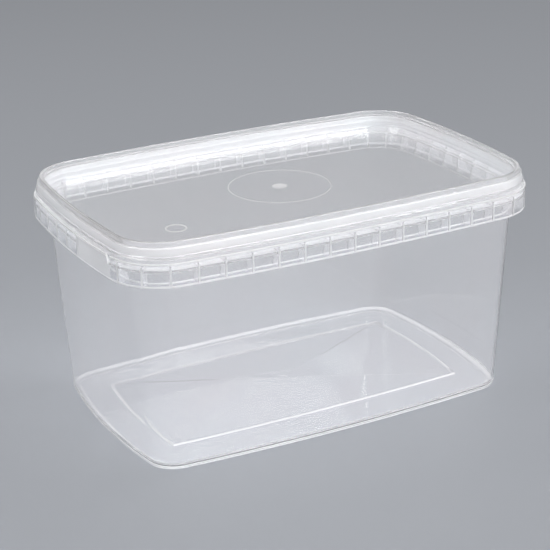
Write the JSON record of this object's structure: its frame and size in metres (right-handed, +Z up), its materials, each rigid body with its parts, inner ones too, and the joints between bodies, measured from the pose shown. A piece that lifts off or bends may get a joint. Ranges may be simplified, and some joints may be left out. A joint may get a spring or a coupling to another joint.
{
  "type": "tamper-evident food container",
  "caption": "Clear rectangular plastic food tub with a ribbed skirt and tear-off tab under its rim, closed by a snap-fit lid with a recessed top.",
  "frame": {"origin": "middle of the foot ring, on the ground", "axes": "+X along the long side, +Z up out of the lid; the tear tab is on the -X side towards -Y"},
  "size_m": [0.2, 0.1304, 0.1032],
  "materials": {
    "clear_tub": "clear injection-moulded polypropylene, high gloss",
    "clear_lid": "clear injection-moulded polypropylene, high gloss"
  },
  "bodies": {
    "root": {"tub": "clear_tub", "lid": "clear_lid"}
  },
  "joints": []
}
